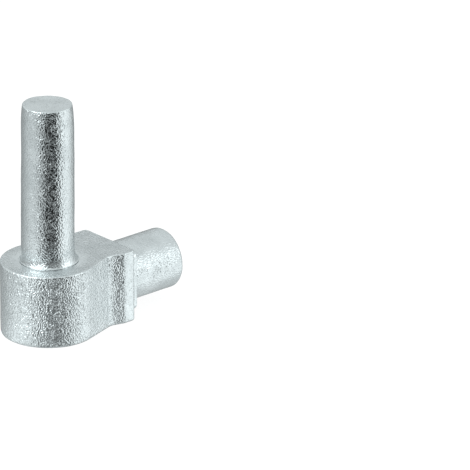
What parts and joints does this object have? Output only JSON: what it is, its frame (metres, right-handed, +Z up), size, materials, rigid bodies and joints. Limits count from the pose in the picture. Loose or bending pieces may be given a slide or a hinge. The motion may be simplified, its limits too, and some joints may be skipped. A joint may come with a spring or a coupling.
{
  "type": "gate hinge pin",
  "caption": "Forged gate hinge pin: upright bearing pin on a waisted head, with a square neck and a round shank drilled for a bolt thread.",
  "frame": {"origin": "on the pin's axis at the head's flat underside", "axes": "+Z up along the pin, +X out along the shank"},
  "size_m": [0.0608, 0.0294, 0.0725],
  "materials": {
    "plated_steel": "bright zinc plate over a blasted forging"
  },
  "bodies": {
    "root": {"hinge_pin": "plated_steel"}
  },
  "joints": []
}
